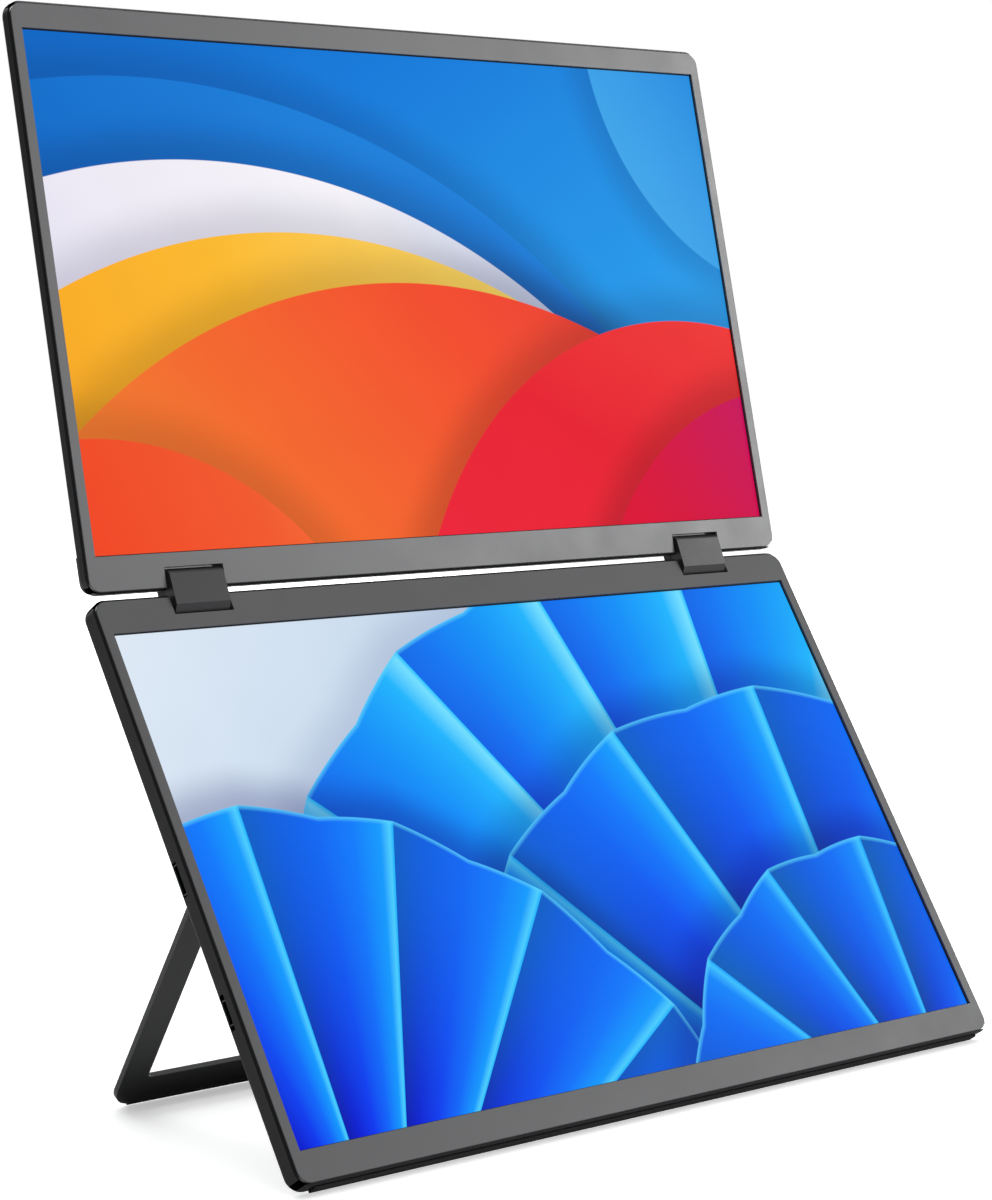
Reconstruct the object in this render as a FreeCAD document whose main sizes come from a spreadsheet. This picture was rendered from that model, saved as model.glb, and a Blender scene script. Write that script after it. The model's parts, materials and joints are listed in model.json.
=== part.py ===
"""Two stacked portable monitors joined by two dual-axis hinge links, with a rear kickstand.

Frame: +Z up, +X to the viewer's right, the screens face -Y. Millimetres, real size.
Origin: middle of the bounding box on the surface that the object stands on.
Each monitor is drawn flat in its own frame: x to the right, y up the panel from the
bottom edge of its front face, z out of the screen, so the depth behind the face is -z.
"""
import FreeCAD, Part
import math
import os
import sys

os.makedirs("parts", exist_ok=True)
doc = FreeCAD.newDocument("stacked_monitors")
V = FreeCAD.Vector

# ---------------------------------------------------------------- driving dimensions
DIMS = [
    # outline of the front faces and the housings
    ("face_half", 176.4), ("rim", 0.9), ("low_high", 217.9), ("upp_high", 216.0),
    ("face_rad", 5.0), ("wall", 0.85), ("bezel_thick", 1.2), ("bezel_edge", 0.2),
    ("rim_drop", 0.1), ("rim_edge", 0.8), ("back_round", 1.6),
    # active areas, 15.6 inch at 16 to 9
    ("view_wide", 344.16), ("view_high", 193.59), ("low_chin", 11.4), ("upp_chin", 12.9),
    ("view_gap", 0.25),
    # depths behind the front face
    ("low_deep", 8.0), ("low_floor", 6.9), ("upp_deep", 5.4), ("upp_floor", 4.5),
    ("band_deep", 7.0), ("band_floor", 6.0), ("bulge_deep", 8.4), ("bulge_floor", 7.3),
    # screen module
    ("glass_top", 1.2), ("glass_bot", 2.2), ("guide_bot", 3.4), ("sheet_bot", 3.8), ("tray_bot", 4.2),
    # hinge links
    ("axis_in", 1.4), ("axis_deep", 3.35), ("link_len", 7.4), ("notch_in", 7.0), ("upp_notch", 7.6),
    ("notch_x0", 116.5), ("notch_x1", 143.1), ("link_x0", 117.6), ("link_x1", 142.0),
    ("shaft_rad", 1.5), ("shaft_gap", 0.05), ("barrel_rad", 2.5), ("link_front", 5.1), ("link_back", 4.9),
    # kickstand
    ("kick_pivot", 127.0), ("kick_deep", 6.8), ("kick_thick", 2.3), ("kick_len", 125.4), ("kick_pad", 1.0),
    ("kick_x0", 142.8), ("kick_x1", 154.6), ("kick_bar", 11.6), ("kick_room", 0.7),
    ("pin_rad", 0.7), ("slot_top", 5.55), ("foot_half", 170.0),
    # ports and buttons
    ("port_y1", 63.6), ("port_y2", 112.8), ("port_len", 13.0), ("port_top", 4.3), ("port_bot", 6.85),
    # attitude in the photograph
    ("lean_low", 32.45), ("lean_upp", 13.01), ("kick_open", 63.83),
    ("low_y", -86.5), ("low_z", 4.984),
]
sheet = doc.addObject("Spreadsheet::Sheet", "P")
for i, (name, val) in enumerate(DIMS):
    row = str(i + 1)
    sheet.set("A" + row, name)
    sheet.set("B" + row, repr(val))
    sheet.setAlias("B" + row, name)
doc.recompute()


class Q:
    """A size with its number and the expression that gives it from the sheet."""

    def __init__(self, v, e):
        self.v, self.e = float(v), e

    def _two(self, o, sign, flip=False):
        o = o if isinstance(o, Q) else Q(o, repr(float(o)))
        a, b = (o, self) if flip else (self, o)
        v = {"+": a.v + b.v, "-": a.v - b.v, "*": a.v * b.v, "/": a.v / b.v if b.v else 0.0}[sign]
        return Q(v, "(" + a.e + " " + sign + " " + b.e + ")")

    def __add__(self, o): return self._two(o, "+")
    def __radd__(self, o): return self._two(o, "+", True)
    def __sub__(self, o): return self._two(o, "-")
    def __rsub__(self, o): return self._two(o, "-", True)
    def __mul__(self, o): return self._two(o, "*")
    def __rmul__(self, o): return self._two(o, "*", True)
    def __truediv__(self, o): return self._two(o, "/")
    def __neg__(self): return Q(-self.v, "(0 - " + self.e + ")")


D = {name: Q(val, "P." + name) for name, val in DIMS}


def num(q):
    return q.v if isinstance(q, Q) else float(q)


def bind(obj, prop, q):
    """Sets a property from the sheet."""
    if isinstance(q, Q):
        obj.setExpression(prop, q.e)


def lo(a, b):
    return a if num(a) <= num(b) else b


count = [0]


def uid(base):
    count[0] += 1
    return base + str(count[0])


# ---------------------------------------------------------------- frames
a_low, a_upp = math.radians(D["lean_low"].v), math.radians(D["lean_upp"].v)
a_mid = (a_low + a_upp) / 2


def up(a): return V(0, math.sin(a), math.cos(a))
def back(a): return V(0, math.cos(a), -math.sin(a))


o_low = V(0, D["low_y"].v, D["low_z"].v)
low_axis_y = D["low_high"] - D["axis_in"]
p1 = o_low + up(a_low) * low_axis_y.v + back(a_low) * D["axis_deep"].v
p2 = p1 + up(a_mid) * D["link_len"].v
o_upp = p2 - up(a_upp) * D["axis_in"].v - back(a_upp) * D["axis_deep"].v
o_link = (p1 + p2) * 0.5
p_kick = o_low + up(a_low) * D["kick_pivot"].v + back(a_low) * D["kick_deep"].v


def turn(deg):
    return FreeCAD.Rotation(V(1, 0, 0), deg)


FR = {
    "low": FreeCAD.Placement(o_low, turn(90 - D["lean_low"].v)),
    "upp": FreeCAD.Placement(o_upp, turn(90 - D["lean_upp"].v)),
    "link": FreeCAD.Placement(o_link, turn(90 - (D["lean_low"].v + D["lean_upp"].v) / 2)),
    # the stand's own frame: y runs from the foot to the pivot, z away from the screen's back
    "kick": FreeCAD.Placement(p_kick, turn(90 - D["lean_low"].v + D["kick_open"].v)),
}
ANGLE = {
    "low": "90 - P.lean_low", "upp": "90 - P.lean_upp",
    "link": "90 - (P.lean_low + P.lean_upp) / 2", "kick": "90 - P.lean_low + P.kick_open",
}

NODES = []


def finish(obj, label, frame):
    """Names a piece and puts it into its place on the assembled object."""
    if obj.TypeId in ("Part::Box", "Part::Cylinder"):
        inner, obj = obj, doc.addObject("Part::Compound", uid("Piece"))
        obj.Links = [inner]
    obj.Label = label
    obj.Placement = FR[frame]
    b = FR[frame].Base
    obj.setExpression(
        "Placement",
        "placement(vector(%r; %r; %r); rotation(vector(1; 0; 0); %s))" % (b.x, b.y, b.z, ANGLE[frame]),
    )
    NODES.append(obj)
    return obj


# ---------------------------------------------------------------- solids from primitives
def box(x0, x1, y0, y1, z0, z1):
    o = doc.addObject("Part::Box", uid("Box"))
    for prop, a, b in (("Length", x0, x1), ("Width", y0, y1), ("Height", z0, z1)):
        d = b - a
        setattr(o, prop, num(d))
        bind(o, prop, d)
    o.Placement.Base = V(num(x0), num(y0), num(z0))
    for prop, a in (("x", x0), ("y", y0), ("z", z0)):
        bind(o, ".Placement.Base." + prop, a)
    return o


def cyl(axis, x, y, z, rad, length):
    """A cylinder from the point (x, y, z) along +x, +y or +z."""
    o = doc.addObject("Part::Cylinder", uid("Cyl"))
    o.Radius, o.Height = num(rad), num(length)
    bind(o, "Radius", rad)
    bind(o, "Height", length)
    rot = {"x": FreeCAD.Rotation(V(0, 1, 0), 90), "y": FreeCAD.Rotation(V(1, 0, 0), -90), "z": FreeCAD.Rotation()}[axis]
    o.Placement = FreeCAD.Placement(V(num(x), num(y), num(z)), rot)
    for prop, a in (("x", x), ("y", y), ("z", z)):
        bind(o, ".Placement.Base." + prop, a)
    return o


def fuse(parts):
    if len(parts) == 1:
        return parts[0]
    o = doc.addObject("Part::MultiFuse", uid("Fuse"))
    o.Shapes = parts
    return o


def group(parts):
    """Separate identical solids that share one node."""
    o = doc.addObject("Part::Compound", uid("Group"))
    o.Links = parts
    return o


def cut(a, tools):
    o = doc.addObject("Part::Cut", uid("Cut"))
    o.Base, o.Tool = a, fuse(tools)
    return o


# ---------------------------------------------------------------- solids from sketches
def plane_of(body, role):
    for f in body.Origin.OriginFeatures:
        if f.Role == role:
            return f
    raise RuntimeError("no plane " + role)


def rect(sk, x0, y0, x1, y1):
    n = sk.GeometryCount
    a, b, c, d = V(num(x0), num(y0), 0), V(num(x1), num(y0), 0), V(num(x1), num(y1), 0), V(num(x0), num(y1), 0)
    import Sketcher
    for p, q in ((a, b), (b, c), (c, d), (d, a)):
        sk.addGeometry(Part.LineSegment(p, q), False)
    for i in range(4):
        sk.addConstraint(Sketcher.Constraint("Coincident", n + i, 2, n + (i + 1) % 4, 1))
    for i, kind in enumerate(("Horizontal", "Vertical", "Horizontal", "Vertical")):
        sk.addConstraint(Sketcher.Constraint(kind, n + i))
    for kind, geo, pos, val, tag in (
        ("DistanceX", n, 1, x0, "x0_"), ("DistanceY", n, 1, y0, "y0_"),
        ("DistanceX", n + 1, 2, x1, "x1_"), ("DistanceY", n + 1, 2, y1, "y1_"),
    ):
        k = sk.addConstraint(Sketcher.Constraint(kind, -1, 1, geo, pos, num(val)))
        sk.renameConstraint(k, tag + str(n))
        if isinstance(val, Q):
            sk.setExpression("Constraints." + tag + str(n), val.e)


def circle(sk, x, y, r):
    import Sketcher
    n = sk.addGeometry(Part.Circle(V(num(x), num(y), 0), V(0, 0, 1), num(r)), False)
    for kind, args, val, tag in (
        ("DistanceX", (-1, 1, n, 3), x, "cx_"), ("DistanceY", (-1, 1, n, 3), y, "cy_"), ("Radius", (n,), r, "r_"),
    ):
        k = sk.addConstraint(Sketcher.Constraint(kind, *args, num(val)))
        sk.renameConstraint(k, tag + str(n))
        if isinstance(val, Q):
            sk.setExpression("Constraints." + tag + str(n), val.e)


def poly(sk, pts):
    """A closed outline through points whose coordinates are fixed from the sheet."""
    import Sketcher
    n = sk.GeometryCount
    m = len(pts)
    for i in range(m):
        p, q = pts[i], pts[(i + 1) % m]
        sk.addGeometry(Part.LineSegment(V(num(p[0]), num(p[1]), 0), V(num(q[0]), num(q[1]), 0)), False)
    for i in range(m):
        sk.addConstraint(Sketcher.Constraint("Coincident", n + i, 2, n + (i + 1) % m, 1))
    for i, p in enumerate(pts):
        for kind, val, tag in (("DistanceX", p[0], "px"), ("DistanceY", p[1], "py")):
            k = sk.addConstraint(Sketcher.Constraint(kind, -1, 1, n + i, 1, num(val)))
            sk.renameConstraint(k, tag + str(n + i) + "_")
            if isinstance(val, Q):
                sk.setExpression("Constraints." + tag + str(n + i) + "_", val.e)


def new_body():
    return doc.addObject("PartDesign::Body", uid("Body"))


def sketch(body, role, off, shapes):
    sk = body.newObject("Sketcher::SketchObject", uid("Sketch"))
    sk.AttachmentSupport = [(plane_of(body, role), "")]
    sk.MapMode = "FlatFace"
    sk.AttachmentOffset = FreeCAD.Placement(V(0, 0, num(off)), FreeCAD.Rotation())
    if isinstance(off, Q):
        sk.setExpression(".AttachmentOffset.Base.z", off.e)
    for kind, args in shapes:
        {"rect": rect, "circle": circle, "poly": poly}[kind](sk, *args)
    return sk


def pad(body, shapes, z0, z1, role="XY_Plane"):
    """Adds material between the depths z0 and z1 over the outline."""
    f = body.newObject("PartDesign::Pad", uid("Pad"))
    f.Profile = sketch(body, role, z0, shapes)
    d = z1 - z0
    f.Length = num(d)
    bind(f, "Length", d)
    f.Reversed = False
    body.Tip = f
    doc.recompute()
    return f


def pocket(body, shapes, z0, z1, role="XY_Plane"):
    """Removes material between the depths z0 and z1 over the outline."""
    before = body.Shape.Volume
    f = body.newObject("PartDesign::Pocket", uid("Pocket"))
    f.Profile = sketch(body, role, z0, shapes)
    d = z1 - z0
    f.Length = num(d)
    bind(f, "Length", d)
    f.Reversed = True
    body.Tip = f
    doc.recompute()
    if not body.Shape.Volume < before - 1e-6:
        raise RuntimeError("a pocket cut nothing in " + body.Name)
    return f


def dress(body, kind, size, test):
    """Rounds or bevels the edges that pass the test."""
    tip = body.Tip
    names = ["Edge%d" % (i + 1) for i, e in enumerate(tip.Shape.Edges) if test(e)]
    if not names:
        raise RuntimeError("no edge to dress in " + body.Name)
    f = body.newObject("PartDesign::" + kind, uid(kind))
    f.Base = (tip, names)
    prop = "Radius" if kind == "Fillet" else "Size"
    setattr(f, prop, num(size))
    bind(f, prop, size)
    body.Tip = f
    doc.recompute()
    if "Invalid" in f.State:
        raise RuntimeError("could not dress " + body.Name + " with " + kind)
    return f


def upright_at(xs, ys, tol=0.01):
    """Edges along z at one of the given corners."""
    def test(e):
        b = e.BoundBox
        return (b.ZLength > 0.3 and b.XLength < tol and b.YLength < tol
                and any(abs(b.XMin - x) < tol for x in xs) and any(abs(b.YMin - y) < tol for y in ys))
    return test


def flat_at(z, inside, tol=0.01):
    """Edges that lie in the plane z and pass the inside test on their box."""
    def test(e):
        b = e.BoundBox
        return b.ZLength < tol and abs(b.ZMin - z) < tol and inside(b)
    return test


face = D["face_half"]
hous = D["face_half"] + D["rim"]
cav = hous - D["wall"]


def sides(x0, x1, y0, y1):
    """The same rectangle on the left and the right."""
    return [("rect", (x0, y0, x1, y1)), ("rect", (-x1, y0, -x0, y1))]


# ================================================================ monitors
def bezel(name, frame, high, chin, notch_y0, notch_y1):
    body = new_body()
    half = D["view_wide"] / 2 + D["view_gap"]
    pad(body, [("rect", (-face, Q(0, "0"), face, high))], -D["bezel_thick"], Q(0, "0"))
    dress(body, "Fillet", D["face_rad"], upright_at((-face.v, face.v), (0, high.v)))
    pocket(body, [("rect", (-half, chin - D["view_gap"], half, chin + D["view_high"] + D["view_gap"]))],
           -D["bezel_thick"] - 1, Q(1, "1"))
    pocket(body, sides(D["notch_x0"], D["notch_x1"], notch_y0, notch_y1), -D["bezel_thick"] - 1, Q(1, "1"))
    eps = 0.02

    def outer(b):
        on_side = b.XLength < eps and abs(abs(b.XMin) - face.v) < eps
        on_end = b.YLength < eps and (abs(b.YMin) < eps or abs(b.YMin - high.v) < eps)
        corner = (b.XLength > 1 and b.YLength > 1 and b.XLength < 8)
        return on_side or on_end or corner
    dress(body, "Chamfer", D["bezel_edge"], flat_at(0.0, outer))
    return finish(body, name, frame)


def screen(pre, frame, chin):
    """The display module, front to back."""
    y0, y1 = chin - 2, chin + D["view_high"] + 2
    hw = D["view_wide"] / 2
    finish(box(-hw - 2, hw + 2, y0, y1, -D["glass_bot"], -D["glass_top"]), pre + "_lcd_glass", frame)
    finish(box(-hw - 1.6, hw + 1.6, y0 + 1.4, y1 - 0.2, -D["guide_bot"], -D["glass_bot"]), pre + "_light_guide", frame)
    finish(box(-hw - 1.6, hw + 1.6, y0 + 0.1, y1 - 0.2, -D["sheet_bot"], -D["guide_bot"]), pre + "_reflector_sheet", frame)
    finish(box(-hw + 2, hw - 2, y0 + 0.3, y0 + 1.3, -D["guide_bot"], -D["glass_bot"] - 0.1), pre + "_led_strip", frame)
    shell = box(-hw - 2.6, hw + 2.6, y0 - 0.6, y1 + 0.5, -D["tray_bot"], -D["glass_top"] - 0.2)
    finish(cut(shell, [box(-hw - 2.05, hw + 2.05, y0 - 0.05, y1 + 0.05, -D["sheet_bot"], Q(1, "1"))]),
           pre + "_backlight_tray", frame)


def shell_body(high, deep, floor, notch_lo, notch_hi, axis_y, bosses, boss_top, inner, extra_rear):
    """A rear cover: outer block, rounded, hollowed, then the hinge notches and the bosses.
    inner is a list of (outline, z0, z1) blocks inside the hollow, and extra_rear a list of
    (outline, z0, z1, z_floor) raised areas behind the back."""
    body = new_body()
    rim = D["rim"]
    pad(body, [("rect", (-hous, -rim, hous, high + rim))], -deep, -D["rim_drop"])
    dress(body, "Fillet", D["face_rad"] + rim, upright_at((-hous.v, hous.v), (-rim.v, (high + rim).v)))
    dress(body, "Chamfer", D["rim_edge"], flat_at(-D["rim_drop"].v, lambda b: True))
    dress(body, "Fillet", D["back_round"], flat_at(-deep.v, lambda b: True))
    for shapes, z0, chamfer in extra_rear:
        pad(body, shapes, z0, -deep + 0.5)
        if chamfer:
            dress(body, "Chamfer", chamfer, flat_at(num(z0), lambda b: True))
    gap = rim - D["wall"]
    pocket(body, [("rect", (-cav, -gap, cav, high + gap))], -floor, Q(0, "0"))
    return body


clear = Q(0.0, "0")

# ---- lower monitor: front
bezel("lower_front_bezel", "low", D["low_high"], D["low_chin"], D["low_high"] - D["notch_in"], D["low_high"] + 2)
screen("lower", "low", D["low_chin"])

# ---- lower monitor: rear cover
LOW_BOSS = [(-168, 20), (-168, 160), (168, 20), (168, 100), (168, 160), (0, 24), (-70, 24), (70, 24),
            (-90, 190), (0, 190), (90, 190)]
body = shell_body(D["low_high"], D["low_deep"], D["low_floor"], None, None, None, None, None, [], [])
# blocks inside the hollow for the stand's channel, the notches' walls and the screw bosses
kx0, kx1 = D["kick_x0"] - D["kick_room"], D["kick_x1"] + D["kick_room"]
ktop = D["kick_pivot"] + 2.6
kbar_top = D["kick_pivot"] - D["kick_len"] + D["kick_bar"] + D["kick_room"]
kfoot = Q(0.0, "0") + 0.2
in_top = -D["tray_bot"] - 0.2
pad(body, sides(kx0 - 1.1, kx1 + 1.1, Q(-0.05, "(0 - 0.05)"), ktop + 1.1), -D["low_floor"] - 0.2, in_top)
pad(body, [("rect", (-kx1, Q(-0.05, "(0 - 0.05)"), kx1, kbar_top + 1.1))], -D["low_floor"] - 0.2, in_top)
nw = 1.2
pad(body, sides(D["notch_x0"] - nw, D["notch_x1"] + nw, D["low_high"] - D["notch_in"] - nw, D["low_high"] + 0.06),
    -D["low_floor"] - 0.2, -D["bezel_thick"])
pad(body, [("circle", (x, y, Q(2.4, "2.4"))) for x, y in LOW_BOSS], -D["low_floor"] - 0.2, -D["tray_bot"])
# the channel that the folded stand lies in
pocket(body, sides(kx0, kx1, kfoot, ktop), -D["low_deep"] - 1, -D["slot_top"])
pocket(body, [("rect", (-kx1 + 1, kfoot, kx1 - 1, kbar_top))], -D["low_deep"] - 1, -D["slot_top"])
# finger scoop above the stand's crossbar
pocket(body, [("rect", (Q(-16, "(0 - 16)"), kbar_top - 1, Q(16, "16"), kbar_top + 7))], -D["low_deep"] - 1, -D["low_floor"] - 0.3)
# hinge notches
pocket(body, sides(D["notch_x0"], D["notch_x1"], D["low_high"] - D["notch_in"], D["low_high"] + 3),
       -D["low_deep"] - 1, Q(1, "1"))
# screw holes with counterbores in the back
pocket(body, [("circle", (x, y, Q(0.9, "0.9"))) for x, y in LOW_BOSS], -D["low_deep"] - 1, -D["tray_bot"] + 0.5)
pocket(body, [("circle", (x, y, Q(1.95, "1.95"))) for x, y in LOW_BOSS], -D["low_deep"] - 1, -D["low_deep"] + 0.9)
# speaker grilles
GRILLE = []
for sx in (-1, 1):
    for i in range(9):
        for j in range(3):
            GRILLE.append(("circle", (sx * (84 + 4 * i), 32 + 4 * j, Q(0.8, "0.8"))))
pocket(body, GRILLE, -D["low_deep"] - 1, -D["low_floor"] + 0.5)
cover = body
# openings in the side walls, drilled along x
tools = []
for y in (D["port_y1"], D["port_y2"]):
    tools.append(box(-hous - 1, -cav + 0.5, y - D["port_len"] / 2, y + D["port_len"] / 2, -D["port_bot"], -D["port_top"]))
BTN = [("power_button", 70.0, 8.0), ("menu_button", 88.0, 14.0)]
for _, y, wide in BTN:
    tools.append(box(cav - 0.5, hous + 1, Q(y - wide / 2, repr(y - wide / 2)), Q(y + wide / 2, repr(y + wide / 2)), Q(-6.3, "(0 - 6.3)"), Q(-3.7, "(0 - 3.7)")))
sh = D["shaft_rad"] + D["shaft_gap"]
for s in (-1, 1):
    x0 = s * D["notch_x0"] if s > 0 else -D["notch_x1"]
    tools.append(cyl("x", (D["notch_x0"] - 3) if s > 0 else (-D["notch_x1"] - 3.7), low_axis_y, -D["axis_deep"], sh,
                     D["notch_x1"] - D["notch_x0"] + 6.7))
    # the stand's pins
    tools.append(cyl("x", (kx0 - 0.8) if s > 0 else (-kx1 - 0.8), D["kick_pivot"], -D["kick_deep"], D["pin_rad"] + 0.02,
                     kx1 - kx0 + 1.6))
finish(cut(cover, tools), "lower_rear_cover", "low")

# ---- lower monitor: fastenings and rubber
def screws(points, top, head_z):
    out = []
    for x, y in points:
        shank = cyl("z", Q(x, repr(float(x))), Q(y, repr(float(y))), head_z, Q(0.85, "0.85"), top - head_z)
        head = cut(cyl("z", Q(x, repr(float(x))), Q(y, repr(float(y))), head_z, Q(1.8, "1.8"), Q(0.8, "0.8")),
                   [box(Q(x - 1.1, repr(x - 1.1)), Q(x + 1.1, repr(x + 1.1)), Q(y - 0.2, repr(y - 0.2)), Q(y + 0.2, repr(y + 0.2)), head_z - 0.1, head_z + 0.45),
                    box(Q(x - 0.2, repr(x - 0.2)), Q(x + 0.2, repr(x + 0.2)), Q(y - 1.1, repr(y - 1.1)), Q(y + 1.1, repr(y + 1.1)), head_z - 0.1, head_z + 0.45)])
        core = cyl("z", Q(x, repr(float(x))), Q(y, repr(float(y))), head_z + 0.5, Q(0.85, "0.85"), top - head_z - 0.5)
        out.append(fuse([head, core]))
    return out


finish(group(screws(LOW_BOSS, -D["tray_bot"] - 0.05, -D["low_deep"] + 0.05)), "lower_casing_screws", "low")
finish(box(-D["foot_half"], D["foot_half"], -D["rim"] - 1.0, -D["rim"], Q(-6.3, "(0 - 6.3)"), Q(-2.2, "(0 - 2.2)")), "lower_foot_strip", "low")


def hinge_side(pre, frame, axis_y, y0, y1, floor):
    """Brackets, shafts and bracket screws beside the notches."""
    x_in, x_out = D["notch_x0"] - 1.0, D["notch_x1"] + nw + 2.2
    scr = []
    for s, side in ((-1, "left"), (1, "right")):
        def m(a, b):
            return (a, b) if s > 0 else (-b, -a)
        if pre == "lower":
            ear = [box(*m(D["notch_x1"] + nw + 0.1, D["notch_x1"] + nw + 2.1), axis_y - 3.4, axis_y + 1.3, -floor, -D["axis_deep"] + 2.0)]
        else:
            ear = [box(*m(D["notch_x1"] + nw + 0.1, D["notch_x1"] + nw + 2.1), axis_y - 1.3, axis_y + 3.4, -D["axis_deep"], -D["axis_deep"] + 2.0),
                   box(*m(D["notch_x1"] + nw + 0.1, D["notch_x1"] + nw + 2.1), axis_y + 0.3, axis_y + 3.4, -floor, -D["axis_deep"] + 1.0)]
        foot = box(*m(D["notch_x1"] + nw + 0.1, D["notch_x1"] + nw + 22), y0, y1, -floor, -floor + 1.1)
        hole = cyl("x", (D["notch_x1"] + nw - 1) if s > 0 else (-D["notch_x1"] - nw - 3.2), axis_y, -D["axis_deep"], D["shaft_rad"], Q(4.2, "4.2"))
        xs = [D["notch_x1"].v + nw + 7, D["notch_x1"].v + nw + 17]
        ym = (num(y0) + num(y1)) / 2
        holes = [cyl("z", Q(s * x, repr(s * x)), Q(ym, repr(ym)), -floor - 0.5, Q(0.8, "0.8"), Q(2.2, "2.2")) for x in xs]
        finish(cut(fuse(ear + [foot]), [hole] + holes), pre + "_hinge_bracket_" + side, frame)
        x_from = x_in if s > 0 else -x_out
        full = cyl("x", x_from, axis_y, -D["axis_deep"], D["shaft_rad"], x_out - x_in)
        # the neck that the sync slider's pin runs in
        nx0 = 132.4 if s > 0 else -141.0
        ring = cut(cyl("x", Q(nx0, repr(nx0)), axis_y, -D["axis_deep"], D["shaft_rad"] + 0.5, Q(8.6, "8.6")),
                   [cyl("x", Q(nx0 - 0.1, repr(nx0 - 0.1)), axis_y, -D["axis_deep"], Q(1.0, "1.0"), Q(8.8, "8.8"))])
        finish(cut(full, [ring]), pre + "_hinge_shaft_" + side, frame)
        for x in xs:
            hd = cyl("z", Q(s * x, repr(s * x)), Q(ym, repr(ym)), -floor + 1.1, Q(1.5, "1.5"), Q(0.6, "0.6"))
            sk_ = cyl("z", Q(s * x, repr(s * x)), Q(ym, repr(ym)), -floor, Q(0.78, "0.78"), Q(1.3, "1.3"))
            scr.append(fuse([hd, sk_]))
    finish(group(scr), pre + "_bracket_screws", frame)


hinge_side("lower", "low", low_axis_y, D["low_high"] - 8.4, D["low_high"] - 1.2, D["low_floor"])

# ---- lower monitor: electronics
def c(v):
    return Q(v, "(0 - %r)" % (-v) if v < 0 else repr(float(v)))


def cbox(x0, x1, y0, y1, z0, z1):
    return box(c(x0), c(x1), c(y0), c(y1), c(z0), c(z1))


finish(cbox(-168.1, -156.5, 48, 152, -6.15, -5.35), "lower_port_board", "low")


def port(name, y, wide, tongue):
    """A connector shell on the port board, open to the left, with its tongue."""
    shell = box(c(-177.0), c(-168.2), y - wide / 2, y + wide / 2, c(-6.8), c(-4.35))
    bore = box(c(-177.5), c(-169.0), y - wide / 2 + 0.3, y + wide / 2 - 0.3, c(-6.5), c(-4.65))
    tong = box(c(-175.8), c(-168.6), y - tongue / 2, y + tongue / 2, c(-5.85), c(-5.3))
    s1 = cut(shell, [bore])
    return s1, tong


for name, y, wide, tongue in (("lower_usb_c_port", D["port_y1"], 9.0, 6.6), ("lower_mini_hdmi_port", D["port_y2"], 11.2, 8.4)):
    s1, tong = port(name, y, wide, tongue)
    finish(fuse([s1, tong]), name, "low")
finish(cbox(-138, -60, 62, 150, -6.3, -5.5), "lower_main_board", "low")
finish(group([cbox(-120, -104, 90, 106, -5.5, -4.5), cbox(-92, -80, 112, 124, -5.5, -4.6), cbox(-126, -118, 126, 134, -5.5, -4.7),
              cbox(-84, -66, 72, 84, -5.5, -4.5)]), "lower_board_chips", "low")
finish(cbox(-163.5, -136, 134, 148, -5.34, -5.1), "lower_port_ribbon", "low")
finish(cbox(-60, -30, 100, 118, -5.5, -5.25), "lower_lcd_ribbon", "low")
for s, side in ((-1, "left"), (1, "right")):
    a, b = (82, 120) if s > 0 else (-120, -82)
    finish(cbox(a, b, 29, 43, -6.7, -4.5), "lower_speaker_" + side, "low")
finish(cbox(173.0, 174.0, 58, 100, -6.4, -4.3), "lower_button_board", "low")
for s, side in ((-1, "left"), (1, "right")):
    x = (kx0 - 0.7) if s > 0 else (-kx1 - 0.7)
    finish(cyl("x", x, D["kick_pivot"], -D["kick_deep"], D["pin_rad"], kx1 - kx0 + 1.4), "kickstand_pin_" + side, "low")
for name, y, wide in BTN:
    capb = cbox(176.6, 177.8, y - wide / 2 + 0.2, y + wide / 2 - 0.2, -6.1, -3.9)
    lip = cbox(175.2, 176.4, y - wide / 2 - 0.6, y + wide / 2 + 0.6, -6.5, -4.4)
    mid = cbox(176.3, 176.7, y - wide / 2 + 0.4, y + wide / 2 - 0.4, -6.0, -4.4)
    finish(fuse([capb, lip, mid]), name, "low")

# ================================================================ upper monitor
bezel("upper_front_bezel", "upp", D["upp_high"], D["upp_chin"], Q(-2, "(0 - 2)"), D["upp_notch"])
screen("upper", "upp", D["upp_chin"])
UPP_BOSS = [(-150, 20), (150, 20), (-60, 20), (60, 20), (-120, 100), (120, 100), (0, 100)]
UPP_TOP = [(-150, 200), (150, 200), (0, 200), (-168, 120), (168, 120)]
body = new_body()
rim = D["rim"]
pad(body, [("rect", (-hous, -rim, hous, D["upp_high"] + rim))], -D["upp_deep"], -D["rim_drop"])
dress(body, "Fillet", D["face_rad"] + rim, upright_at((-hous.v, hous.v), (-rim.v, (D["upp_high"] + rim).v)))
dress(body, "Chamfer", D["rim_edge"], flat_at(-D["rim_drop"].v, lambda b: True))
dress(body, "Fillet", D["back_round"], flat_at(-D["upp_deep"].v, lambda b: True))
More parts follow.
